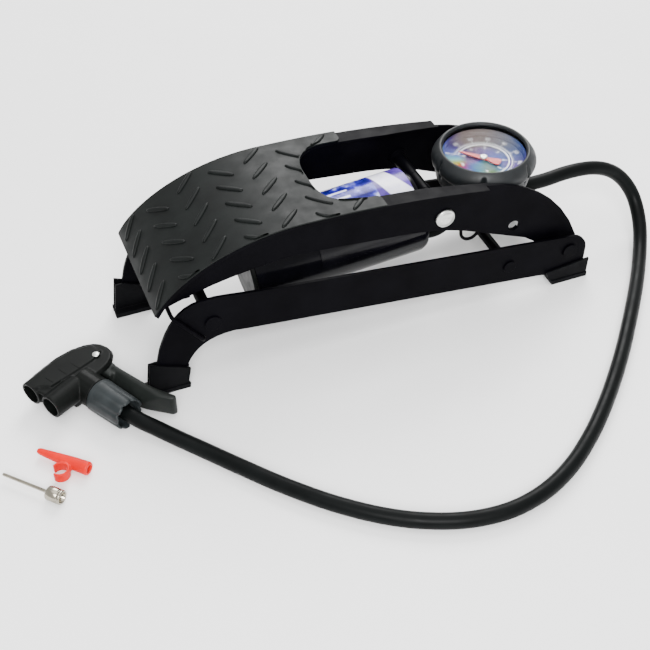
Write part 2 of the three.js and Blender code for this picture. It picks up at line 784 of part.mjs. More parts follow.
function addChuck() {
  const slab = new THREE.ExtrudeGeometry(chuckOutline(), {
    depth: CHUCK_TOP - 8.6,
    bevelThickness: 3.4,
    bevelSize: 2.4,
    bevelSegments: 1,
    curveSegments: 5,
  });
  const kept = [slab.translate(0, 0, 5.2)];
  const cut = [];
  for (const [, y] of NOZZLES) {
    const at = [0, y, NOZZLE_Z];
    const nozzle = [[0, 20], [7.3, 20], [6.2, MOUTH], [0, MOUTH]];
    kept.push(turned(nozzle, "x", 20).translate(...at));
    cut.push(rod(4.6, MOUTH - 14, MOUTH + 5, "x", at, 16));
  }
  kept.push(box(26, 37, -9, 4, 8.5, 15.5));
  const stub = turned([[0, 4], [9.7, 4], [9.6, 18], [0, 18]], "y", 20);
  kept.push(stub.translate(COLLAR_X, 0, COLLAR_Z));
  cut.push(
    box(-20, 8.2, -20, 30, ...SLOT),
    rod(1.95, -5, 30, "z", [0, 0, 0], 12),
    rod(3.2, -5, 2.2, "z", [0, 0, 0], 12),
  );
  add("chuck_body", carve(kept, cut), BLACK_PLASTIC, inChuck);

  for (const [which, y] of NOZZLES) {
    const seal = turned(ringProfile(1.8, 4.25, MOUTH - 13.7, MOUTH - 10.5), "x", 16);
    add(`nozzle_seal_${which}`, seal.translate(0, y, NOZZLE_Z), BLACK_RUBBER, inChuck);
  }

  const collar = [
    [HOSE_R + 0.5, 18.3],
    [9.9, 18.3],
    [10, 20.6],
    [8.7, 43],
    [HOSE_R + 0.5, 43],
    [HOSE_R + 0.5, 18.3],
  ];
  const placed = turned(collar, "y", 24).translate(COLLAR_X, 0, COLLAR_Z);
  add("chuck_collar", placed, GREY_PLASTIC, inChuck);
}

// The thumb lever: a boss on the rivet, and a leaning paddle that curves away from the collar.
function addLever() {
  const [low, high] = [SLOT[0] + GAP, SLOT[1] - GAP];
  const boss = rod(7.4, low, high, "z");
  const arm = upright(polygon([[-5.5, 0], [5.5, 0], [5, 16], [-3, 16]]), low, high);
  const plan = new THREE.Shape();
  plan.moveTo(5, 13);
  plan.lineTo(6.4, 30);
  plan.bezierCurveTo(6.4, 38, 2, 46, -2.6, 56.4);
  plan.bezierCurveTo(-3.4, 58.4, -6.4, 58.4, -7, 56.6);
  plan.bezierCurveTo(-5.4, 50, -3, 44, -3, 32);
  plan.lineTo(-2.4, 13);
  const section = polygon([[-8, 2.6], [-8, 15.4], [-6.4, 16.4], [-0.2, 16.4], [7, 4], [6.6, 2.6]]);
  const paddle = solid(upright(plan, 0, 20, 6)).intersect(solid(across(section, 0, 70)));
  const hole = rod(1.95, 0, 30, "z", [0, 0, 0], 12);
  add("chuck_lever", carve([boss, arm, geometryOf(paddle)], [hole]), BLACK_PLASTIC, inChuck);

  const top = CHUCK_TOP + GAP;
  const rivet = [[0, 1.6], [2.8, 1.6], [1.6, 2], [1.6, top], [2.9, top], [2.3, top + 0.6], [0, top + 0.7]];
  add("lever_rivet", turned(rivet, "z", 16), ZINC, inChuck);
}

// ---------- loose adaptors ----------
function addNeedle() {
  const lying = new THREE.Group();
  lying.position.set(-208.3, -97.4, 4.1);
  lying.rotation.z = THREE.MathUtils.degToRad(133);
  pump.add(lying);
  const profile = [
    [0, 7],
    [2.5, 7],
    [2.5, 0],
    [3.6, 0],
    [4.05, 0.5],
    [4.05, 8.4],
    [3.2, 9.2],
    [1.2, 10.6],
    [0.95, 11.6],
    [0.95, 37.2],
    [0.5, 38.3],
    [0, 38.3],
  ];
  add("ball_needle", turned(profile, "x", 16), STEEL, lying);
}

function addCone() {
  const lying = new THREE.Group();
  lying.position.set(-190.6, -83.4, 0);
  lying.rotation.z = THREE.MathUtils.degToRad(134.5);
  pump.add(lying);
  const cone = [[0, 0], [3.4, 0], [3.9, 0.8], [3.6, 10], [1.9, 31], [1.3, 32.6], [0, 32.6]];
  const bore = rod(2.2, -1, 9, "x", [0, 0, 4], 12);
  // An open ring on its side, which snaps round the hose.
  const clip = new THREE.Shape();
  const gapStart = THREE.MathUtils.degToRad(-1);
  const gapEnd = THREE.MathUtils.degToRad(71);
  clip.absarc(0, 0, 4.9, gapEnd, gapStart + 2 * Math.PI, false);
  clip.absarc(0, 0, 3.8, gapStart + 2 * Math.PI, gapEnd, true);
  const ring = upright(clip, 0.6, 6.6, 8).translate(13, 7.6, 0);
  const neck = carve([box(9.4, 16, 1.5, 6, 1.6, 6)], [rod(4.3, 0, 9, "z", [13, 7.6, 0])]);
  add("cone_nozzle", carve([turned(cone, "x").translate(0, 0, 4), ring, neck], [bore]), RED, lying);
}

addSidePlates();
addFeet();
addBasePins();
addLatch();
addPedal();
addTread();
addToeHook();
addLugPin();
addBarrel();
addRod();
addGauge();
addTee();
addAirTube();
addTubeGuide();
addHose();
addChuck();
addLever();
addNeedle();
addCone();

export default pump;
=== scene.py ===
# The looks of the foot air pump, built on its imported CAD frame.
# Metres in the row frame: +Z up, +X from the toe towards the hinge. Lengths named here are in millimetres.
import math

import bmesh
import bpy
from mathutils import Matrix, Vector


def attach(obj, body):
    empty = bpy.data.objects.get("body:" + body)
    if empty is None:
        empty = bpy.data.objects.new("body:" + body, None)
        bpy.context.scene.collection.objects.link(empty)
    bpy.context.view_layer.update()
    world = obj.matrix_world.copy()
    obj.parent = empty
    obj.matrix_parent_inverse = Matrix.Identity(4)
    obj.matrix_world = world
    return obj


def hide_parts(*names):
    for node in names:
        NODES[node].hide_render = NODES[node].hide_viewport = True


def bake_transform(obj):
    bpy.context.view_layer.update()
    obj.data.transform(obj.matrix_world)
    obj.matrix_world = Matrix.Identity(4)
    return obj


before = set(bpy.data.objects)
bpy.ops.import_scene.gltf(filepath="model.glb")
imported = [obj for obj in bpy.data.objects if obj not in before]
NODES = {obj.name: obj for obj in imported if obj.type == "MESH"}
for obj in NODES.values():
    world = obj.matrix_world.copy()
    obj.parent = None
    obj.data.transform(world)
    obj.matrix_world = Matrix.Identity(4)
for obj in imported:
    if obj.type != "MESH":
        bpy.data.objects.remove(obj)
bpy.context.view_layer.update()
scene = bpy.context.scene

# ---------- driving dimensions ----------
MM = 0.001
TO_MIDDLE = 1.5  # from the drawing's datum to the middle of the feet
TAU = 2 * math.pi

TOP_HALF = 38.9  # half the width of the pedal's top sheet
CUT_START = -31.5  # front of the U-shaped cut-out
CUT_HALF = 28.8
CUT_CORNER = 23
TREAD_END = 1
TREAD_LOW = 0.3  # heights above the pedal's sheet
TREAD_FACE = 1.1
TREAD_BAR_TOP = 2.1

GAUGE_X = 82.8
HOSE_R = 4.5
AIR_TUBE_R = 3.5
CHUCK_AT = (-168, -13.7)
CHUCK_HEADING = 209.5
COLLAR_X = 16.2
COLLAR_Z = 10.2


def point(x, y, z):
    """A point of the drawing, in the row frame."""
    return Vector((x + TO_MIDDLE, y, z)) * MM


def placed(x, y, z, heading):
    """The frame of a piece that is drawn lying along its own +X, turned to a heading in degrees."""
    return Matrix.Translation(point(x, y, z)) @ Matrix.Rotation(math.radians(heading), 4, "Z")


CHUCK = placed(*CHUCK_AT, 0, CHUCK_HEADING)
GAUGE = placed(GAUGE_X, 0, 0, 0)


# ---------- camera ----------
def make_camera():
    data = bpy.data.cameras.new("camera")
    data.sensor_width = 36
    data.lens = 36 * 1162 / 650
    camera = bpy.data.objects.new("camera", data)
    camera.location = (-0.2223, -0.503, 0.487)
    yaw, pitch = math.radians(22), math.radians(43.2)
    look = Vector((math.sin(yaw) * math.cos(pitch), math.cos(yaw) * math.cos(pitch), -math.sin(pitch)))
    camera.rotation_euler = look.to_track_quat("-Z", "Y").to_euler()
    data.clip_start = 0.01
    data.clip_end = 50
    scene.collection.objects.link(camera)
    scene.camera = camera


make_camera()


# ---------- materials ----------
class Surface:
    """A Principled material and the few node patterns that the finishes share."""

    def __init__(self, name, roughness, metallic=0.0, specular=0.5):
        self.material = bpy.data.materials.new(name)
        self.material.use_nodes = True
        self.nodes = self.material.node_tree.nodes
        self.links = self.material.node_tree.links
        self.shader = self.nodes["Principled BSDF"]
        self.shader.inputs["Roughness"].default_value = roughness
        self.shader.inputs["Metallic"].default_value = metallic
        self.shader.inputs["Specular IOR Level"].default_value = specular
        self.place = self.nodes.new("ShaderNodeTexCoord").outputs["Object"]
        self.height = None

    def noise(self, size, detail=3.0, stretch=None):
        """Noise whose features are about size millimetres across."""
        node = self.nodes.new("ShaderNodeTexNoise")
        node.inputs["Scale"].default_value = 1 / (size * MM)
        node.inputs["Detail"].default_value = detail
        source = self.place
        if stretch:
            mapping = self.nodes.new("ShaderNodeMapping")
            mapping.inputs["Scale"].default_value = stretch
            self.links.new(self.place, mapping.inputs["Vector"])
            source = mapping.outputs["Vector"]
        self.links.new(source, node.inputs["Vector"])
        return node.outputs["Fac"]

    def ramp(self, source, stops, mode="LINEAR"):
        node = self.nodes.new("ShaderNodeValToRGB")
        node.color_ramp.interpolation = mode
        elements = node.color_ramp.elements
        while len(elements) < len(stops):
            elements.new(0.5)
        for element, (at, colour) in zip(elements, stops):
            element.position = at
        for element, (at, colour) in zip(elements, stops):
            element.color = (*colour, 1)
        self.links.new(source, node.inputs["Fac"])
        return node.outputs["Color"]

    def mix(self, first, second, share):
        node = self.nodes.new("ShaderNodeMix")
        node.data_type = "RGBA"
        self.links.new(share, node.inputs["Factor"])
        self.links.new(first, node.inputs["A"])
        self.links.new(second, node.inputs["B"])
        return node.outputs["Result"]

    def colour(self, source):
        self.links.new(source, self.shader.inputs["Base Color"])

    def mottle(self, low, high, size, detail=3.0):
        """A base colour that drifts between two colours."""
        self.colour(self.ramp(self.noise(size, detail), [(0.3, low), (0.7, high)]))

    def rough(self, size, low, high):
        spread = self.nodes.new("ShaderNodeMapRange")
        spread.inputs["From Min"].default_value = 0.3
        spread.inputs["From Max"].default_value = 0.7
        spread.inputs["To Min"].default_value = low
        spread.inputs["To Max"].default_value = high
        self.links.new(self.noise(size), spread.inputs["Value"])
        self.links.new(spread.outputs["Result"], self.shader.inputs["Roughness"])

    def bump(self, source, strength, depth):
        """Adds relief, depth millimetres deep, over any relief already there."""
        node = self.nodes.new("ShaderNodeBump")
        node.inputs["Strength"].default_value = strength
        node.inputs["Distance"].default_value = depth * MM
        self.links.new(source, node.inputs["Height"])
        if self.height:
            self.links.new(self.height, node.inputs["Normal"])
        self.height = node.outputs["Normal"]
        self.links.new(self.height, self.shader.inputs["Normal"])


def black_paint():
    s = Surface("black_paint", 0.42, specular=0.025)
    s.mottle((0.0007, 0.0006, 0.0012), (0.0017, 0.0016, 0.0026), 22)
    s.rough(9, 0.36, 0.5)
    s.bump(s.noise(1.1), 0.25, 0.05)
    s.bump(s.noise(0.35), 0.2, 0.02)
    return s.material


def tread_rubber():
    s = Surface("tread_rubber", 0.5, specular=0.13)
    s.mottle((0.0019, 0.0026, 0.0024), (0.0044, 0.0058, 0.0054), 14, 5)
    s.rough(12, 0.42, 0.6)
    s.bump(s.noise(0.5), 0.35, 0.06)
    return s.material


def black_rubber():
    s = Surface("black_rubber", 0.55, specular=0.05)
    s.mottle((0.0014, 0.0014, 0.0018), (0.003, 0.0031, 0.0038), 9, 4)
    s.rough(7, 0.48, 0.64)
    s.bump(s.noise(0.4), 0.3, 0.04)
    return s.material


def hose_rubber():
    s = Surface("hose_rubber", 0.4, specular=0.07)
    s.mottle((0.0014, 0.0019, 0.0019), (0.003, 0.0038, 0.0038), 16, 4)
    s.rough(10, 0.36, 0.5)
    s.bump(s.noise(0.6), 0.2, 0.04)
    return s.material


def boot_rubber():
    s = Surface("boot_rubber", 0.36, specular=0.32)
    s.mottle((0.0035, 0.0045, 0.0052), (0.0068, 0.0086, 0.01), 8, 4)
    s.rough(6, 0.42, 0.58)
    s.bump(s.noise(0.45), 0.25, 0.04)
    return s.material


def chuck_plastic(name, shade, specular):
    s = Surface(name, 0.42, specular=specular)
    s.mottle(*[tuple(part * shade for part in tone) for tone in ((0.9, 1.08, 1), (1.4, 1.65, 1.5))], 10, 4)
    s.rough(6, 0.36, 0.48)
    s.bump(s.noise(0.5), 0.2, 0.03)
    return s.material


def grey_plastic():
    s = Surface("grey_plastic", 0.45, specular=0.22)
    s.mottle((0.0105, 0.0135, 0.0145), (0.0175, 0.0215, 0.023), 8, 4)
    s.rough(5, 0.4, 0.54)
    s.bump(s.noise(0.5), 0.22, 0.03)
    return s.material


def barrel_paint():
    s = Surface("barrel_paint", 0.16, specular=0.09)
    s.mottle((0.0014, 0.0014, 0.0022), (0.003, 0.003, 0.0046), 18)
    s.rough(14, 0.12, 0.22)
    s.bump(s.noise(2.2), 0.12, 0.04)
    return s.material


def plated(name, low, high, roughness, grain):
    s = Surface(name, roughness, metallic=1)
    s.mottle(low, high, 5, 5)
    s.rough(3, roughness * 0.75, roughness * 1.35)
    s.bump(s.noise(grain, stretch=(1, 6, 1)), 0.15, 0.02)
    return s.material


def red_plastic():
    s = Surface("red_plastic", 0.38, specular=0.15)
    s.mottle((0.56, 0.002, 0.0008), (0.64, 0.004, 0.0015), 6, 4)
    s.shader.inputs["Subsurface Weight"].default_value = 0.15
    s.shader.inputs["Subsurface Radius"].default_value = (0.002, 0.0006, 0.0004)
    s.rough(5, 0.32, 0.46)
    s.bump(s.noise(0.6), 0.15, 0.03)
    return s.material


def pointer_red():
    s = Surface("pointer_red", 0.4)
    s.mottle((0.48, 0.01, 0.008), (0.56, 0.018, 0.014), 3)
    return s.material


def print_white():
    s = Surface("print_white", 0.45)
    s.mottle((0.72, 0.75, 0.76), (0.84, 0.86, 0.87), 4)
    return s.material


def lens_clear():
    s = Surface("lens_clear", 0.04, specular=0.5)
    s.shader.inputs["Base Color"].default_value = (0.01, 0.01, 0.012, 1)
    s.shader.inputs["Alpha"].default_value = 0.04
    s.rough(20, 0.02, 0.06)
    return s.material


def dial_foil():
    """A printed foil that turns through the rainbow with the heading, with painted shade that makes it greyer
    and darker at the top.
    """
    s = Surface("dial_foil", 0.35, specular=0.1)
    mapping = s.nodes.new("ShaderNodeMapping")
    mapping.inputs["Location"].default_value = -point(GAUGE_X, 0, 0)
    s.links.new(s.place, mapping.inputs["Vector"])
    around = s.nodes.new("ShaderNodeTexGradient")
    around.gradient_type = "RADIAL"
    s.links.new(mapping.outputs["Vector"], around.inputs["Vector"])
    # the radial gradient is a half at +X and grows with the heading
    def share_of_turn(degrees):
        return ((degrees + 180) % 360) / 360

    # both rings grow greyer and darker towards the top: painted shade laid over the print colours
    outer = [
        (180, (0.62, 0.2, 0.06)),
        (190, (0.5, 0.07, 0.3)),
        (204, (0.24, 0.1, 0.5)),
        (217, (0.06, 0.22, 0.6)),
        (234, (0.08, 0.42, 0.5)),
        (256, (0.34, 0.46, 0.1)),
        (272, (0.26, 0.42, 0.16)),
        (292, (0.08, 0.3, 0.56)),
        (316, (0.26, 0.16, 0.5)),
        (345, (0.12, 0.17, 0.42)),
        (5, (0.16, 0.22, 0.4)),
        (28, (0.3, 0.31, 0.36)),
        (60, (0.33, 0.29, 0.28)),
        (95, (0.33, 0.28, 0.27)),
        (118, (0.14, 0.1, 0.28)),
        (140, (0.2, 0.24, 0.6)),
        (157, (0.3, 0.62, 0.62)),
        (170, (0.55, 0.55, 0.08)),
        (179.9, (0.62, 0.22, 0.06)),
    ]
    inner = [
        (180, (0.28, 0.16, 0.42)),
        (200, (0.1, 0.26, 0.5)),
        (222, (0.14, 0.38, 0.5)),
        (262, (0.26, 0.38, 0.34)),
        (290, (0.22, 0.34, 0.4)),
        (325, (0.14, 0.2, 0.5)),
        (0, (0.1, 0.16, 0.48)),
        (35, (0.13, 0.12, 0.42)),
        (70, (0.2, 0.12, 0.34)),
        (110, (0.24, 0.14, 0.26)),
        (150, (0.2, 0.13, 0.24)),
        (179.9, (0.28, 0.16, 0.42)),
    ]

    def stops(rows):
        """Ramp stops, with the colours raised to a power to deepen the print."""
        return [(share_of_turn(at), tuple(0.7 * part**1.5 for part in colour)) for at, colour in rows]

    far = s.ramp(around.outputs["Fac"], stops(outer))
    near = s.ramp(around.outputs["Fac"], stops(inner))
    reach = s.nodes.new("ShaderNodeVectorMath")
    reach.operation = "LENGTH"
    flat = s.nodes.new("ShaderNodeVectorMath")
    flat.operation = "MULTIPLY"
    flat.inputs[1].default_value = (1, 1, 0)
    s.links.new(mapping.outputs["Vector"], flat.inputs[0])
    s.links.new(flat.outputs["Vector"], reach.inputs[0])
    share = s.nodes.new("ShaderNodeMapRange")
    share.inputs["From Min"].default_value = 10 * MM
    share.inputs["From Max"].default_value = 15 * MM
    s.links.new(reach.outputs["Value"], share.inputs["Value"])
    s.colour(s.mix(near, far, share.outputs["Result"]))
    s.rough(2, 0.25, 0.4)
    return s.material


def label_foil():
    """A blue and violet print: clouds towards the toe, thin bars, and a pale sweep towards the head."""
    s = Surface("label_foil", 0.22, specular=0.2)
    clouds = s.ramp(
        s.noise(8, 6),
        [
            (0.38, (0.008, 0.006, 0.12)),
            (0.49, (0.025, 0.022, 0.3)),
            (0.58, (0.12, 0.13, 0.52)),
            (0.7, (0.6, 0.64, 0.85)),
        ],
    )
    deep = s.ramp(s.noise(12, 4), [(0.35, (0.03, 0.012, 0.16)), (0.65, (0.11, 0.06, 0.34))])
    pale = s.ramp(s.noise(5, 3), [(0.35, (0.72, 0.72, 0.88)), (0.65, (0.86, 0.86, 0.94))])
    split = s.nodes.new("ShaderNodeSeparateXYZ")
    s.links.new(s.place, split.inputs["Vector"])

    def step(value, edge, width=0.8):
        spread = s.nodes.new("ShaderNodeMapRange")
        spread.inputs["From Min"].default_value = (edge - width / 2) * MM
        spread.inputs["From Max"].default_value = (edge + width / 2) * MM
        s.links.new(value, spread.inputs["Value"])
        return spread.outputs["Result"]

    def both(first, second, operation="MULTIPLY"):
        node = s.nodes.new("ShaderNodeMath")
        node.operation = operation
        s.links.new(first, node.inputs[0])
        s.links.new(second, node.inputs[1])
        return node.outputs["Value"]

    # the sweep is a ring round a point beyond the head
    reach = s.nodes.new("ShaderNodeVectorMath")
    reach.operation = "DISTANCE"
    reach.inputs[1].default_value = point(58, 12, 72)
    s.links.new(s.place, reach.inputs[0])
    ring = both(step(reach.outputs["Value"], 36), step(reach.outputs["Value"], 47), "SUBTRACT")
    behind = step(split.outputs["X"], 12)
    colour = s.mix(clouds, deep, behind)
    colour = s.mix(colour, pale, ring)

    # only the top is printed; the flanks are as black as the barrel
    rise = s.nodes.new("ShaderNodeVectorMath")
    rise.operation = "DOT_PRODUCT"
    slope = math.radians(5)
    square = Vector((-math.sin(slope), 0, math.cos(slope)))
    rise.inputs[1].default_value = square
    s.links.new(s.place, rise.inputs[0])
    printed = step(rise.outputs["Value"], point(-104, 0, 42.8).dot(square) / MM + 15.5, 0.4)

    # three thin bars printed beside the sweep
    bars = None
    for y in (-9, -3, 3):
        bar = both(step(split.outputs["Y"], y), step(split.outputs["Y"], y + 1.6), "SUBTRACT")
        bars = bar if bars is None else both(bars, bar, "ADD")
    from_x = both(step(split.outputs["X"], -18), step(split.outputs["X"], -4), "SUBTRACT")
    colour = s.mix(colour, pale, both(bars, from_x))
    black = s.ramp(s.noise(18), [(0.3, (0.0014, 0.0014, 0.0022)), (0.7, (0.003, 0.003, 0.0046))])
    s.colour(s.mix(black, colour, printed))
    s.rough(10, 0.16, 0.28)
    return s.material


def floor_white():
    s = Surface("floor_white", 0.85, specular=0.2)
    s.mottle((0.93, 0.93, 0.93), (0.95, 0.95, 0.95), 60)
    return s.material


BLACK_PAINT = black_paint()
TREAD_RUBBER = tread_rubber()
BLACK_RUBBER = black_rubber()
HOSE_RUBBER = hose_rubber()
BOOT_RUBBER = boot_rubber()
CHUCK_PLASTIC = chuck_plastic("chuck_plastic", 0.0026, 0.08)
LEVER_PLASTIC = chuck_plastic("lever_plastic", 0.0085, 0.2)
GREY_PLASTIC = grey_plastic()
BARREL_PAINT = barrel_paint()
ZINC = plated("zinc", (0.62, 0.63, 0.6), (0.78, 0.79, 0.75), 0.32, 0.8)
STEEL = plated("steel", (0.42, 0.42, 0.42), (0.6, 0.6, 0.61), 0.28, 0.6)
NICKEL = plated("nickel", (0.26, 0.235, 0.19), (0.4, 0.37, 0.3), 0.22, 0.5)
BRASS = plated("brass", (0.55, 0.36, 0.13), (0.7, 0.48, 0.2), 0.3, 0.7)
RED_PLASTIC = red_plastic()
POINTER_RED = pointer_red()
PRINT_WHITE = print_white()
LENS_CLEAR = lens_clear()
DIAL_PRINT_AND_SHADE = dial_foil()
LABEL_FOIL = label_foil()


# ---------- mesh tools ----------
def piece(name, verts, faces, material, body=None, replaces=()):
    """A new smooth-shaded mesh from its points, which are in the row frame."""
    mesh = bpy.data.meshes.new(name)
    mesh.from_pydata([tuple(v) for v in verts], [], faces)
    mesh.validate()
    edit = bmesh.new()
    edit.from_mesh(mesh)
    bmesh.ops.remove_doubles(edit, verts=edit.verts, dist=0.002 * MM)
    bmesh.ops.recalc_face_normals(edit, faces=edit.faces)
    edit.to_mesh(mesh)
    edit.free()
    for face in mesh.polygons:
        face.use_smooth = True
    mesh.materials.append(material)
    made = bpy.data.objects.new(name, mesh)
    scene.collection.objects.link(made)
    if body:
        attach(made, body)
    if replaces:
        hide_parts(*replaces)
    return made


def soften(made, width=0.3, segments=2, limit=35):
    """Rounds the sharp edges of a piece or a CAD node, and keeps its flat faces flat."""
    weld = made.modifiers.new("weld", "WELD")
    weld.merge_threshold = 0.005 * MM
    bevel = made.modifiers.new("bevel", "BEVEL")
    bevel.width = width * MM
    bevel.segments = segments
    bevel.limit_method = "ANGLE"
    bevel.angle_limit = math.radians(limit)
    bevel.harden_normals = True
    bevel.use_clamp_overlap = True
    return made


def evaluated(made):
    """Replaces a piece's mesh with the result of its modifiers."""
    bpy.context.view_layer.update()
    graph = bpy.context.evaluated_depsgraph_get()
    result = bpy.data.meshes.new_from_object(made.evaluated_get(graph))
    made.modifiers.clear()
    made.data = result
    for face in result.polygons:
        face.use_smooth = True
    return made


def grid_faces(rows, columns, wrap_rows=False, wrap_columns=False):
    """The quads of a grid of points, which may close on itself either way."""
    faces = []
    for i in range(rows if wrap_rows else rows - 1):
        for j in range(columns if wrap_columns else columns - 1):
            a, b = i * columns + j, i * columns + (j + 1) % columns
            k = ((i + 1) % rows) * columns
            faces.append((a, b, k + (j + 1) % columns, k + j))
    return faces


def turned(profile, axis, sides=40, shape=None, frame_at=Matrix.Identity(4)):
    """A lathe about +X, +Y or +Z from [radius, distance] in millimetres.

    shape(r, d, angle) may move a point.
    """
    rows = []
    for r, d in profile:
        for k in range(sides):
            angle = TAU * k / sides
            rr, dd = shape(r, d, angle) if shape else (r, d)
            a, b = rr * math.cos(angle), rr * math.sin(angle)
            local = {"x": (dd, a, b), "y": (b, dd, a), "z": (a, b, dd)}[axis]
            rows.append(frame_at @ (Vector(local) * MM))
    closed = profile[0] == profile[-1]
    if closed:
        rows = rows[:-sides]
    return rows, grid_faces(len(profile) - (1 if closed else 0), sides, wrap_rows=closed, wrap_columns=True)


def smooth_path(points, per_span):
    """A Catmull-Rom curve through the points."""
    pts = [Vector(p) for p in points]
    ends = [pts[0] * 2 - pts[1], *pts, pts[-1] * 2 - pts[-2]]
    out = []
    for i in range(len(pts) - 1):
        a, b, c, d = ends[i : i + 4]
        for k in range(per_span):
            t = k / per_span
            out.append(
                0.5
                * (2 * b + (c - a) * t + (2 * a - 5 * b + 4 * c - d) * t * t + (3 * b - a - 3 * c + d) * t**3)
            )
    out.append(pts[-1])
    return out


def tube(path, radius, sides, caps=True):
    """A round tube along a path. The path and radius are in the same unit."""
    forward = (path[1] - path[0]).normalized()
    side = forward.orthogonal().normalized()
    verts = []
    for i, p in enumerate(path):
        ahead = path[min(i + 1, len(path) - 1)] - path[max(i - 1, 0)]
        turn = forward.rotation_difference(ahead.normalized())
        side = (turn @ side).normalized()
        forward = ahead.normalized()
        other = forward.cross(side)
        r = radius(i / (len(path) - 1)) if callable(radius) else radius
        for k in range(sides):
            a = TAU * k / sides
            verts.append(p + (side * math.cos(a) + other * math.sin(a)) * r)
    faces = grid_faces(len(path), sides, wrap_columns=True)
    if caps:
        faces.append(tuple(range(sides)))
        faces.append(tuple(range(len(verts) - sides, len(verts))))
    return verts, faces


# ---------- hose ----------
HOSE_ROUTE = [
    (97.1, 0, 50.5),
    (106, 0, 50.5),
    (118, 0, 50.6),
    (130, 0, 50.8),
    (141.6, 0.2, 51.9),
    (153.5, 0.6, 51.7),
    (164.7, 1, 49.9),
    (175.1, 1, 46.2),
    (184.1, 0, 40.5),
    (191, -3, 33.1),
    (194.9, -8, 25.2),
    (195, -15.5, 17.9),
    (192.3, -24.4, 11.8),
    (187, -34.3, 7.2),
    (178.6, -46.8, 5),
    (167.1, -62.1, 4.7),
    (153, -79.5, 4.7),
    (137.9, -97.3, 4.7),
    (121.8, -115.5, 4.7),
    (103.6, -134.5, 4.7),
    (85.5, -151.7, 4.7),
    (68.3, -166.1, 4.7),
    (49.6, -178.9, 4.7),
    (29, -188.4, 4.7),
    (6.8, -192.7, 4.7),
    (-15.3, -190.7, 4.7),
    (-36.9, -183.2, 4.7),
    (-57.3, -171.4, 4.7),
    (-78.3, -154.1, 4.7),
    (-98.1, -133.3, 4.7),
    (-115.5, -112.1, 4.7),
    (-129.1, -95.1, 4.9),
    (-140.3, -82.5, 6.2),
    (-149.2, -73.1, 8.2),
    (-156.4, -65.6, 9.8),
    (-160.9, -59, COLLAR_Z),
    (-165.4, -51.2, COLLAR_Z),
    (-171.6, -40.2, COLLAR_Z),
]


def make_hose():
    path = smooth_path([point(*p) for p in HOSE_ROUTE], 5)
    verts, faces = tube(path, HOSE_R * MM, 20)
    hose = piece("air_hose", verts, faces, HOSE_RUBBER, replaces=["hose"])
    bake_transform(hose)
    return hose, path


HOSE, HOSE_PATH = make_hose()


# ---------- pedal: the tread ----------
def bezier(a, b, c, d, t):
    u = 1 - t
    return a * u**3 + b * 3 * t * u * u + c * 3 * t * t * u + d * t**3


def top_line():
    """The pedal's top in side view, sampled from the toe to the end of its rails."""
    first = [Vector(p) for p in ((-135.4, 57.3), (-126.4, 74.4), (-92, 96.6), (-45, 95.6))]
    second = [Vector(p) for p in ((-45, 95.6), (-8, 95.6), (26, 93), (66, 86.9))]
    line = [bezier(*first, k / 80) for k in range(80)]
    return line + [bezier(*second, k / 80) for k in range(81)]


TOP_LINE = top_line()
TOP_RUN = [0.0]
for before, after in zip(TOP_LINE, TOP_LINE[1:]):
    TOP_RUN.append(TOP_RUN[-1] + (after - before).length)


def run_at(x):
    """How far along the top line a drawing X lies."""
    for k, p in enumerate(TOP_LINE[1:], 1):
        if p.x >= x:
            back = TOP_LINE[k - 1]
            return TOP_RUN[k - 1] + (TOP_RUN[k] - TOP_RUN[k - 1]) * (x - back.x) / (p.x - back.x)
    return TOP_RUN[-1]


def on_top(run, y, above):
    """The point at a run along the top line, y across, and a height square to the sheet."""
    k = 1
    while k < len(TOP_RUN) - 1 and TOP_RUN[k] < run:
        k += 1
    a, b = TOP_LINE[k - 1], TOP_LINE[k]
    share = (run - TOP_RUN[k - 1]) / (TOP_RUN[k] - TOP_RUN[k - 1])
    p = a + (b - a) * share
    along = (b - a).normalized()
    return point(p.x - along.y * above, y, p.y + along.x * above)


# Half of the cut-out's front in plan: from its flat nose round to its straight side.
CUT_CURVE = [
    Vector((CUT_START, CUT_HALF - CUT_CORNER)),
    Vector((CUT_START, CUT_HALF - 8)),
    Vector((CUT_START + 8, CUT_HALF)),
    Vector((CUT_START + CUT_CORNER, CUT_HALF)),
]


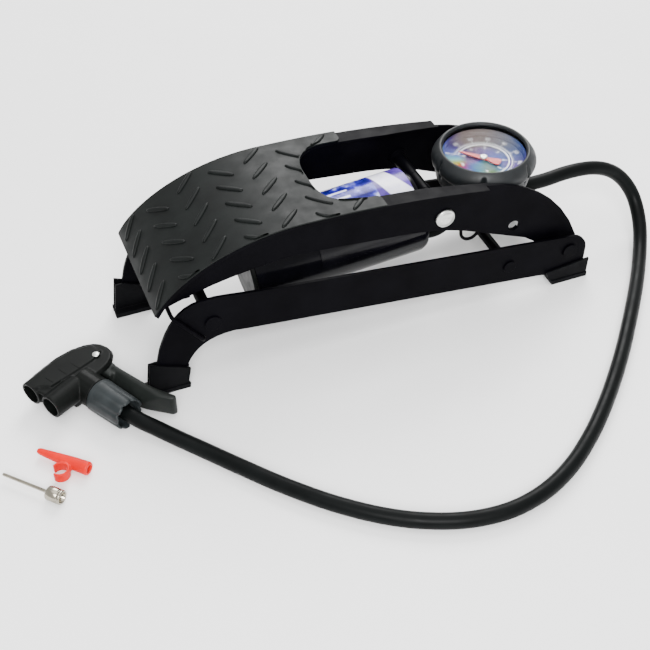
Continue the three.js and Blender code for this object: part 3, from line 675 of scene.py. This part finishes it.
def make_tread_mat():
    half = TOP_HALF + 0.3
    nose = CUT_HALF - CUT_CORNER  # half the flat front of the cut-out
    rows = []  # run, inner half width, whether the row still crosses the middle
    start = run_at(CUT_START)
    for k in range(56):
        rows.append((0.4 + (start - 0.4) * k / 55, nose, True))
    for k in range(1, 15):
        x, w = bezier(*CUT_CURVE, k / 14)
        rows.append((run_at(x), w + 0.2, False))
    last = run_at(TREAD_END)
    rows.append((last - 3.5, CUT_HALF + 0.2, False))
    for angle in (20, 40, 60, 75, 88):
        a = math.radians(angle)
        rows.append((last - 3.5 * (1 - math.sin(a)), CUT_HALF + 0.2 + 3.5 * (1 - math.cos(a)), False))
    verts, faces = [], []
    across, middle = 10, 4
    previous = None
    for run, inner, whole in rows:
        ids = {}
        for sign in (-1, 1):
            for j in range(across + 1):
                y = inner + (half - inner) * j / across
                ids[sign, j] = len(verts)
                verts.append(on_top(run, sign * y, TREAD_FACE))
        for j in range(1, middle):
            ids["m", j] = len(verts)
            verts.append(on_top(run, inner * (2 * j / middle - 1), TREAD_FACE))
        ids["m", 0], ids["m", middle] = ids[-1, 0], ids[1, 0]
        if previous:
            for sign in (-1, 1):
                for j in range(across):
                    quad = (previous[sign, j], previous[sign, j + 1], ids[sign, j + 1], ids[sign, j])
                    faces.append(quad if sign > 0 else quad[::-1])
            if whole:
                for j in range(middle):
                    faces.append((previous["m", j], previous["m", j + 1], ids["m", j + 1], ids["m", j]))
        previous = ids
    mat = piece("tread_mat_face", verts, faces, TREAD_RUBBER, "pedal", ["tread_mat"])
    loose = bmesh.new()
    loose.from_mesh(mat.data)
    bmesh.ops.delete(loose, geom=[v for v in loose.verts if not v.link_faces], context="VERTS")
    if sum(f.normal.z for f in loose.faces) < 0:
        bmesh.ops.reverse_faces(loose, faces=loose.faces)
    loose.to_mesh(mat.data)
    loose.free()
    solid = mat.modifiers.new("sheet", "SOLIDIFY")
    solid.thickness = (TREAD_FACE - TREAD_LOW) * MM
    solid.offset = -1
    soften(mat, 0.45, 3, 50)
    return mat


# One raised bar seen from above: rings of [height, half length, half width].
BAR_RINGS = [
    (0.9, 8.7, 1.75),
    (1.5, 8.4, 1.5),
    (1.9, 8.0, 1.15),
    (2.05, 7.4, 0.7),
    (TREAD_BAR_TOP, 6.2, 0.25),
]
BAR_PITCH = 20.8
BAR_ACROSS = 15.9
BAR_SLANT = 43
BAR_SIDES = 16


def cut_edge(y):
    """How far along the top line the cut-out begins at a distance y from the middle."""
    nose = CUT_HALF - CUT_CORNER
    if abs(y) <= nose:
        return run_at(CUT_START)
    low, high = 0.0, 1.0
    for _ in range(12):
        half = (low + high) / 2
        if bezier(*CUT_CURVE, half).y < abs(y):
            low = half
        else:
            high = half
    return run_at(bezier(*CUT_CURVE, low).x)


def on_mat(run, y):
    """Moves a bar's point back to the mat's edge where the bar runs over it."""
    y = max(-TOP_HALF + 0.5, min(TOP_HALF - 0.5, y))
    if abs(y) < CUT_HALF - 1:
        run = min(run, cut_edge(y) - 1)
    elif abs(y) < CUT_HALF + 1 and run > run_at(CUT_START) + 10:
        y = math.copysign(CUT_HALF + 1, y)
    return run, y


def add_bar(verts, faces, run, y, slant):
    base = len(verts)
    c, s = math.cos(math.radians(slant)), math.sin(math.radians(slant))
    for height, long, wide in BAR_RINGS:
        for k in range(BAR_SIDES):
            a = TAU * k / BAR_SIDES
            u = long * math.copysign(abs(math.cos(a)) ** 0.8, math.cos(a))
            v = wide * math.copysign(abs(math.sin(a)) ** 0.8, math.sin(a))
            at, across = on_mat(run + u * c - v * s, y + u * s + v * c)
            verts.append(on_top(at, across, height))
    for face in grid_faces(len(BAR_RINGS), BAR_SIDES, wrap_columns=True):
        faces.append(tuple(base + i for i in face))
    top = base + (len(BAR_RINGS) - 1) * BAR_SIDES
    faces.append(tuple(range(top, top + BAR_SIDES)))
    faces.append(tuple(range(base, base + BAR_SIDES))[::-1])


def bar_fits(run, y):
    """Whether the middle of a bar there is on the mat."""
    if abs(y) > TOP_HALF + 2 or run < 6 or run > run_at(TREAD_END) - 6:
        return False
    return run < run_at(CUT_START) + 2 or abs(y) > CUT_HALF - 1


def make_tread_bars():
    verts, faces = [], []
    row = 0
    run = 10
    while run < run_at(TREAD_END):
        rising = row % 2 == 0
        for j in range(-3, 4):
            y = j * BAR_ACROSS + (0.2 if rising else 9.3)
            if bar_fits(run, y):
                add_bar(verts, faces, run, y, BAR_SLANT if rising else -BAR_SLANT)
        run += BAR_PITCH
        row += 1
    return piece("tread_bars", verts, faces, TREAD_RUBBER, "pedal")


make_tread_mat()
make_tread_bars()


# ---------- gauge ----------
NOTCH_HEADING = 242  # one of the grooves below the boot's rim
NOTCHES = 6


def make_boot():
    """The gauge's rubber boot: a rolled rim whose lobes are parted by grooves, over a narrower cup."""
    profile = [
        (26.9, 66.9),
        (27.7, 66.5),
        (28.4, 67.6),
        (28.9, 70.2),
        (29.3, 73),
        (29.5, 75.2),
        (29.7, 76.2),
        (30.5, 76.5),
        (31.2, 77.3),
        (31.6, 78.8),
        (31.7, 80.4),
        (31.5, 82),
        (30.9, 83.6),
        (30, 85),
        (29, 86.2),
        (28, 87.2),
        (27, 87.9),
        (26.2, 87.85),
        (25.5, 87.2),
        (25.25, 86.4),
        (25.2, 85.8),
        (26.9, 85.75),
        (26.9, 66.9),
    ]

    def lobes(r, d, angle):
        if r < 27.5 or d > 87.5:
            return r, d
        groove = 0
        for k in range(NOTCHES):
            off = (math.degrees(angle) - NOTCH_HEADING - 360 * k / NOTCHES + 180) % 360 - 180
            groove += math.exp(-((off / 2) ** 4))
        fade = max(0, min(1, (86 - d) / 2)) * max(0, min(1, (d - 74) / 2))
        swell = 0.25 * math.cos(NOTCHES * (angle - math.radians(NOTCH_HEADING + 180 / NOTCHES)))
        return r - 0.25 + (swell - 2 * groove) * fade, d

    verts, faces = turned(profile, "z", 240, lobes, GAUGE)
    return piece("gauge_boot_rubber", verts, faces, BOOT_RUBBER, "pedal", ["gauge_boot"])


DIAL_Z = 78.6
PRINT_Z = 78.7
ZERO_HEADING = 141  # heading of the outer scale's zero
PER_UNIT = 2.85  # degrees for each unit of the outer scale
PER_INNER = 41.3  # degrees for each unit of the inner scale


def arc_band(verts, faces, r0, r1, start, end, steps=90):
    base = len(verts)
    for k in range(steps + 1):
        a = math.radians(start + (end - start) * k / steps)
        for r in (r0, r1):
            verts.append(GAUGE @ (Vector((r * math.cos(a), r * math.sin(a), PRINT_Z)) * MM))
    for k in range(steps):
        i = base + 2 * k
        faces.append((i, i + 1, i + 3, i + 2))


def tick(verts, faces, heading, r0, r1, width):
    a = math.radians(heading)
    along = Vector((math.cos(a), math.sin(a), 0))
    side = Vector((-along.y, along.x, 0)) * (width / 2)
    base = len(verts)
    lift = Vector((0, 0, PRINT_Z))
    for p in (along * r0 - side, along * r1 - side, along * r1 + side, along * r0 + side):
        verts.append(GAUGE @ ((p + lift) * MM))
    faces.append((base, base + 1, base + 2, base + 3))


def lettering(text, size, heading, r):
    """A number that stands on the dial with its head outwards."""
    curve = bpy.data.curves.new("number", "FONT")
    curve.body = text
    curve.size = size * MM
    curve.align_x = "CENTER"
    curve.align_y = "CENTER"
    curve.resolution_u = 3
    curve.offset = 0.00006
    made = bpy.data.objects.new("number", curve)
    scene.collection.objects.link(made)
    bpy.context.view_layer.update()
    mesh = bpy.data.meshes.new_from_object(made.evaluated_get(bpy.context.evaluated_depsgraph_get()))
    a = math.radians(heading)
    at = GAUGE @ (Vector((r * math.cos(a), r * math.sin(a), PRINT_Z)) * MM)
    place = Matrix.Translation(at) @ Matrix.Rotation(a - math.pi / 2, 4, "Z")
    verts = [place @ v.co for v in mesh.vertices]
    faces = [tuple(f.vertices) for f in mesh.polygons]
    bpy.data.objects.remove(made)
    return verts, faces


def make_dial():
    # a pan, whose wall stands up to the lens
    disc = [(0, DIAL_Z), (24.4, DIAL_Z), (24.8, DIAL_Z + 0.4), (24.95, 83.7)]
    disc += [(25.15, 83.7), (25.15, DIAL_Z - 0.8), (0, DIAL_Z - 0.8)]
    verts, faces = turned(disc, "z", 72, frame_at=GAUGE)
    piece("dial_disc", verts, faces, DIAL_PRINT_AND_SHADE, "pedal", ["gauge_dial"])

    verts, faces = [], []
    end = ZERO_HEADING - 100 * PER_UNIT
    arc_band(verts, faces, 17.2, 17.6, ZERO_HEADING, end)
    arc_band(verts, faces, 15.2, 16, ZERO_HEADING, end)
    for unit in range(0, 101, 2):
        reach, width = (19.9, 0.5) if unit % 10 == 0 else (18.8, 0.26)
        tick(verts, faces, ZERO_HEADING - unit * PER_UNIT, 17.5, reach, width)
    for unit in range(0, 71, 5):
        start = 13.9 if unit % 10 == 0 else 14.5
        tick(verts, faces, ZERO_HEADING - unit / 10 * PER_INNER, start, 15.3, 0.4)
    texts = [(str(unit), 3.5, ZERO_HEADING - unit * PER_UNIT, 22) for unit in range(0, 101, 10)]
    texts += [(str(unit), 3.2, ZERO_HEADING - unit * PER_INNER, 12) for unit in range(0, 7)]
    texts += [("psi", 2.6, 178.5, 19), ("bar", 2.6, 178.5, 14)]
    for text in texts:
        more, sides = lettering(*text)
        base = len(verts)
        verts += more
        faces += [tuple(base + i for i in face) for face in sides]
    print_piece = piece("dial_print", verts, faces, PRINT_WHITE, "pedal")
    for face in print_piece.data.polygons:
        face.use_smooth = False


POINTER_HEADING = 132  # where the pointer stands at rest


def make_pointer():
    """A tapered pointer with a flared tail, standing on its zero stop."""
    outline = [(16, 0.4), (9, 1.2), (2.2, 1.7), (-3.6, 1.6), (-8.6, 3.2), (-10.6, 2.7), (-11, 0)]
    half = [(x, -y) for x, y in outline]
    ring = outline + half[::-1][1:]
    turn = GAUGE @ Matrix.Rotation(math.radians(POINTER_HEADING), 4, "Z")
    verts, faces = [], []
    for z in (79.5, 80):
        for x, y in ring:
            verts.append(turn @ (Vector((x, y, z)) * MM))
    n = len(ring)
    faces.append(tuple(range(n)))
    faces.append(tuple(range(n, 2 * n)))
    faces += [(k, (k + 1) % n, n + (k + 1) % n, n + k) for k in range(n)]
    made = piece("pointer_blade", verts, faces, POINTER_RED, "pointer", ["gauge_pointer"])
    soften(made, 0.12, 2)

    hub = [
        (0, 80.3),
        (2.2, 80.3),
        (2.3, 80.5),
        (2.25, 80.9),
        (1.7, 81.2),
        (0.9, 81.25),
        (0.6, 81),
        (0, 80.95),
    ]
    verts, faces = turned(hub, "z", 32, frame_at=GAUGE)
    piece("pointer_cap", verts, faces, ZINC, "pointer", ["pointer_hub"])


def make_lens():
    dome = [(26.2, 83.95), (26.2, 84.5), (24, 84.85), (19, 85.15), (12, 85.32), (6, 85.38), (0, 85.4)]
    under = [(0, 83.95), (26.2, 83.95)]
    verts, faces = turned(dome + under, "z", 64, frame_at=GAUGE)
    piece("lens_dome", verts, faces, LENS_CLEAR, "pedal", ["gauge_lens"])


make_boot()
make_dial()
make_pointer()
make_lens()


# ---------- chuck ----------
def rounded_copy(name, node, material, body, voxel, passes, extra=None):
    """A CAD solid with its edges melted into each other: remeshed finely, then smoothed."""
    made = bpy.data.objects.new(name, NODES[node].data.copy())
    scene.collection.objects.link(made)
    made.data.materials.clear()
    made.data.materials.append(material)
    if extra:
        edit = bmesh.new()
        edit.from_mesh(made.data)
        extra(edit)
        edit.to_mesh(made.data)
        edit.free()
    weld = made.modifiers.new("weld", "WELD")
    weld.merge_threshold = 0.005 * MM
    remesh = made.modifiers.new("remesh", "REMESH")
    remesh.mode = "VOXEL"
    remesh.voxel_size = voxel * MM
    smooth = made.modifiers.new("smooth", "SMOOTH")
    smooth.factor = 0.6
    smooth.iterations = passes
    evaluated(made)
    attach(made, body)
    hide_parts(node)
    return made


def block(edit, outline, z0, z1):
    """Adds an upright prism, drawn in the chuck's own frame."""
    rings = [[edit.verts.new(CHUCK @ (Vector((x, y, z)) * MM)) for x, y in outline] for z in (z0, z1)]
    edit.faces.new(rings[0][::-1])
    edit.faces.new(rings[1])
    n = len(outline)
    for k in range(n):
        edit.faces.new((rings[0][k], rings[0][(k + 1) % n], rings[1][(k + 1) % n], rings[1][k]))


NOZZLE_Z = 12
NOZZLES = (-10.6, 5.8)  # how far the two nozzles stand to the side
BORE = 5.7
CHUCK_PANEL = 18.3  # height of the raised panel
MARK_WIDTH = 0.5
MARK_HEIGHT = 0.16
PANEL_MARKS = [((30.2, -8.6), (29.9, -2.4)), ((21, -7.8), (20.9, -1)), ((13.4, -5.6), (13.1, 0.4))]


def chuck_relief(edit):
    """Fills the body between its nozzles, and lays the raised panel over its top."""
    block(edit, [(26, -16.6), (16, -17), (6, -15.4), (-2, -12), (0, 2), (26, -4)], 8, 17.2)
    block(edit, [(40, -13), (39, -14.8), (33, -16.2), (24, -16.8), (24, -4), (40, -8)], 15.8, 17.2)
    block(edit, [(40, -8), (39, 4), (33, 6), (18, 7), (18, -8)], 15.6, 16.9)
    block(edit, [(18, -6.2), (38.5, -6), (38.5, 1.2), (18, 1.2)], 6.5, 15.6)
    block(edit, [(4, 9), (27, 9), (30, 4), (4, 2)], 7, 17)
    far_edge = [(39, -12), (36, -13.6), (28, -14.8), (18, -15.2), (6, -13.4), (-4, -8)]
    near_edge = [(-4, 0), (4, 1.6), (18, 0.6), (33.2, -1.2), (39, -8)]
    block(edit, far_edge + near_edge, 15.8, CHUCK_PANEL)
    for y in NOZZLES:
        wall = [(5.2, 20), (7.35, 20), (7.1, 40.8), (5.2, 40.8), (5.2, 20)]
        at = CHUCK @ Matrix.Translation(Vector((0, y, NOZZLE_Z)) * MM)
        verts, faces = turned(wall, "x", 32, frame_at=at)
        made = [edit.verts.new(v) for v in verts]
        for face in faces:
            edit.faces.new([made[i] for i in face])


def finish_panel(shell):
    """Planes the panel flat, widens both bores, and adds three thin ridges across the panel."""
    to_chuck = CHUCK.inverted()
    for vert in shell.data.vertices:
        local = to_chuck @ vert.co
        if local.y < 1.4 * MM and local.z > CHUCK_PANEL * MM:
            local.z = CHUCK_PANEL * MM
        for y in NOZZLES:
            across = Vector((0, local.y - y * MM, local.z - NOZZLE_Z * MM))
            if local.x > 28 * MM and 3.5 * MM < across.length < BORE * MM:
                local += across * (BORE * MM / across.length - 1)
        vert.co = CHUCK @ local
    edit = bmesh.new()
    edit.from_mesh(shell.data)
    for (x0, y0), (x1, y1) in PANEL_MARKS:
        ridge = [(x0, y0), (x1, y1), (x1 + MARK_WIDTH, y1), (x0 + MARK_WIDTH, y0)]
        block(edit, ridge, CHUCK_PANEL - 0.6, CHUCK_PANEL + MARK_HEIGHT)
    edit.to_mesh(shell.data)
    edit.free()


CHUCK_SHELL = rounded_copy(
    "chuck_shell", "chuck_body", CHUCK_PLASTIC, "base", 0.4, 7, chuck_relief
)
finish_panel(CHUCK_SHELL)
CHUCK_LEVER = rounded_copy("chuck_paddle", "chuck_lever", LEVER_PLASTIC, "lever", 0.5, 26)


def make_collar():
    """The hose's collar: shallow ribs that deepen towards a scalloped end."""
    ribs = 9
    profile = [
        (5.2, 18.4),
        (9.5, 18.4),
        (9.95, 18.8),
        (10, 20.6),
        (9.95, 26),
        (9.85, 32),
        (9.75, 38),
        (9.65, 41.6),
        (9.3, 42.7),
        (8.7, 43),
        (8.2, 42.6),
        (7.9, 40),
        (7.6, 36.5),
        (5.2, 36),
        (5.2, 18.4),
    ]

    def ribbed(r, d, angle):
        if r < 7.7:
            return r, d
        wave = 0.5 + 0.5 * math.cos(ribs * angle)
        hollow = (1 - wave) ** 3
        grown = max(0, min(1, (d - 21) / 9))
        back = 1.3 * hollow * max(0, min(1, (d - 37) / 4))
        return r - 0.4 * hollow * grown, d - back

    at = CHUCK @ Matrix.Translation(Vector((COLLAR_X, 0, COLLAR_Z)) * MM)
    verts, faces = turned(profile, "y", 144, ribbed, at)
    return piece("collar_shell", verts, faces, GREY_PLASTIC, "base", ["chuck_collar"])


COLLAR = make_collar()


def make_rivet(name, node, at, body):
    under = [(0, 1.62), (2.7, 1.62), (2.8, 1.7), (1.6, 2)]
    cap = [(1.6, 18.1), (2.05, 18.2), (2.2, 18.4), (1.9, 18.65), (1.2, 18.86), (0, 18.9)]
    verts, faces = turned(under + cap, "z", 32, frame_at=at)
    return piece(name, verts, faces, ZINC, body, [node])


make_rivet("chuck_rivet", "lever_rivet", CHUCK, "base")


# ---------- rivets, wire and tubes ----------
def make_lug_rivet():
    half = [
        (2.5, 33),
        (2.5, 34.3),
        (6, 34.35),
        (6.1, 34.9),
        (5.7, 35.7),
        (5.2, 36),
        (5, 35.8),
        (4.8, 36.1),
        (2.5, 36.6),
        (0, 36.7),
    ]
    mirrored = [(r, -d) for r, d in half][::-1]
    at = Matrix.Translation(point(40.5, 0, 71.2))
    verts, faces = turned(mirrored + half, "y", 40, frame_at=at)
    piece("lug_rivet", verts, faces, ZINC, "pedal", ["lug_pin"])


make_lug_rivet()


def make_latch():
    """The wire bail, drawn as one bent wire."""
    pivot = Vector((-110.4, 0, 33.3))
    bar = Vector((-127.3, 0, 55.5))
    up = (bar - pivot).normalized()
    out = 41
    corner = 3
    half = [
        pivot + Vector((0, 37, 0)),
        pivot + Vector((0, out - 1.6, 0)),
        pivot + Vector((0, out - 0.4, 0)) + up * 0.4,
        pivot + Vector((0, out, 0)) + up * 1.8,
        bar + Vector((0, out, 0)) - up * corner,
        bar + Vector((0, out - 0.45, 0)) - up * (corner * 0.3),
        bar + Vector((0, out - 1.6, 0)) - up * 0.25,
        bar + Vector((0, out - corner - 0.6, 0)),
    ]
    other = [Vector((p.x, -p.y, p.z)) for p in half][::-1]
    spread = []
    for a, b in zip(half + other, (half + other)[1:]):
        steps = max(1, round((b - a).length / 3))
        spread += [a + (b - a) * (k / steps) for k in range(steps)]
    spread.append(other[-1])
    path = [point(*p) for p in spread]
    verts, faces = tube(path, 1.2 * MM, 14)
    piece("latch_bail", verts, faces, BLACK_PAINT, "latch", ["latch_wire"])


make_latch()


def make_air_tube():
    slope = math.radians(5)
    s, y, z = 142 + 3.2, 15, -8

    def on_barrel(along, up):
        x = -104 + along * math.cos(slope) - up * math.sin(slope)
        return (x, y, 42.8 + along * math.sin(slope) + up * math.cos(slope))

    route = [
        on_barrel(s, z - 11.3),
        on_barrel(s, z - 15),
        (44.5, 14, 26),
        (51, 10.5, 23.5),
        (58, 6, 27),
        (62.5, 2, 35),
        (64, 0.2, 45),
        (66.5, 0, 53),
        (71.5, 0, 56),
        (GAUGE_X - 7.3, 0, 56),
    ]
    verts, faces = tube(smooth_path([point(*p) for p in route], 6), AIR_TUBE_R * MM, 18)
    made = piece("air_link", verts, faces, HOSE_RUBBER, replaces=["air_tube"])
    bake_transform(made)


make_air_tube()


# ---------- adaptors ----------
def make_needle():
    lying = placed(-208.3, -97.4, 4.1, 133)
    profile = [
        (0, 7),
        (2.6, 7),
        (2.7, 6.9),
        (2.9, 0.3),
        (3.2, 0),
        (3.6, 0),
        (4.05, 0.5),
        (4.05, 1.6),
        (3.8, 1.8),
        (3.8, 2.1),
        (4.05, 2.3),
        (4.05, 8.3),
        (3.5, 9),
        (1.9, 9.7),
        (1.2, 10.5),
        (0.98, 11.6),
        (0.95, 37),
        (0.75, 37.9),
        (0, 38.3),
    ]
    verts, faces = turned(profile, "x", 36, frame_at=lying)
    piece("needle_turned", verts, faces, NICKEL, "needle", ["ball_needle"])


make_needle()
rounded_copy("cone_moulded", "cone_nozzle", RED_PLASTIC, "nozzle", 0.25, 4)


# ---------- CAD pieces that keep their shape ----------
def dress(names, material, width=0.3, limit=35):
    """Gives CAD pieces a material, smooth shading and slightly rounded edges."""
    for name in names:
        node = NODES[name]
        for slot in node.material_slots:
            slot.material = material
        if "custom_normal" in node.data.attributes:
            node.data.attributes.remove(node.data.attributes["custom_normal"])
        for face in node.data.polygons:
            face.use_smooth = True
        soften(node, width, 2, limit)


BOTH = ("near", "far")
dress([f"base_side_{s}" for s in BOTH], BLACK_PAINT, 0.35)
dress(["pedal_channel"], BLACK_PAINT, 0.3)
dress(["toe_hook", "gauge_bracket", "gauge_cup", "tube_guide", "hinge_sleeve"], BLACK_PAINT, 0.25)
dress(["rod_pin", "base_cross_rod", "hinge_pin", "barrel_lug", "rod_saddle"], BLACK_PAINT, 0.2)
dress([f"lug_pin_spacer_{s}" for s in BOTH], BLACK_PAINT, 0.15)
dress([f"hinge_washer_{s}" for s in BOTH], ZINC, 0.15)
dress([f"foot_cap_{end}_{s}" for end in ("front", "back") for s in BOTH], BLACK_RUBBER, 0.6)
dress(["barrel_tube"], BARREL_PAINT, 0.25, 25)
dress(["barrel_label"], LABEL_FOIL, 0.08)
dress(["barrel_cap", "piston"], CHUCK_PLASTIC, 0.25)
dress(["barrel_outlet", "gauge_tee", "gauge_movement", "bourdon_tube"], BRASS, 0.2)
dress(["piston_rod", "return_spring"], STEEL, 0.2)
dress(["hose_ferrule"], ZINC, 0.3)
dress(["check_valve", "piston_cup"], BLACK_RUBBER, 0.1)
dress([f"nozzle_seal_{s}" for s in BOTH], BLACK_RUBBER, 0.15)


# ---------- floor and light ----------
def make_studio():
    size = 4
    corners = [(-size, -size, 0), (size, -size, 0), (size, size, 0), (-size, size, 0)]
    mesh = bpy.data.meshes.new("floor")
    mesh.from_pydata(corners, [], [(0, 1, 2, 3)])
    mesh.materials.append(floor_white())
    floor = bpy.data.objects.new("floor", mesh)
    floor.location.z = -0.0002
    scene.collection.objects.link(floor)

    world = bpy.data.worlds.new("studio")
    world.use_nodes = True
    back = world.node_tree.nodes["Background"]
    back.inputs["Color"].default_value = (1, 1, 1, 1)
    back.inputs["Strength"].default_value = 1.05
    scene.world = world

    for name, at, energy, width in (
        ("back", (0.6, 1.1, 1.15), 42, 0.9),
        ("front", (-0.35, -1.0, 0.9), 26, 0.6),
        ("top", (0, 0, 1.8), 16, 1.4),
    ):
        light = bpy.data.lights.new(name, "AREA")
        light.energy = energy
        light.size = width
        lamp = bpy.data.objects.new(name, light)
        lamp.location = at
        lamp.rotation_euler = (-Vector(at)).to_track_quat("-Z", "Y").to_euler()
        scene.collection.objects.link(lamp)


make_studio()
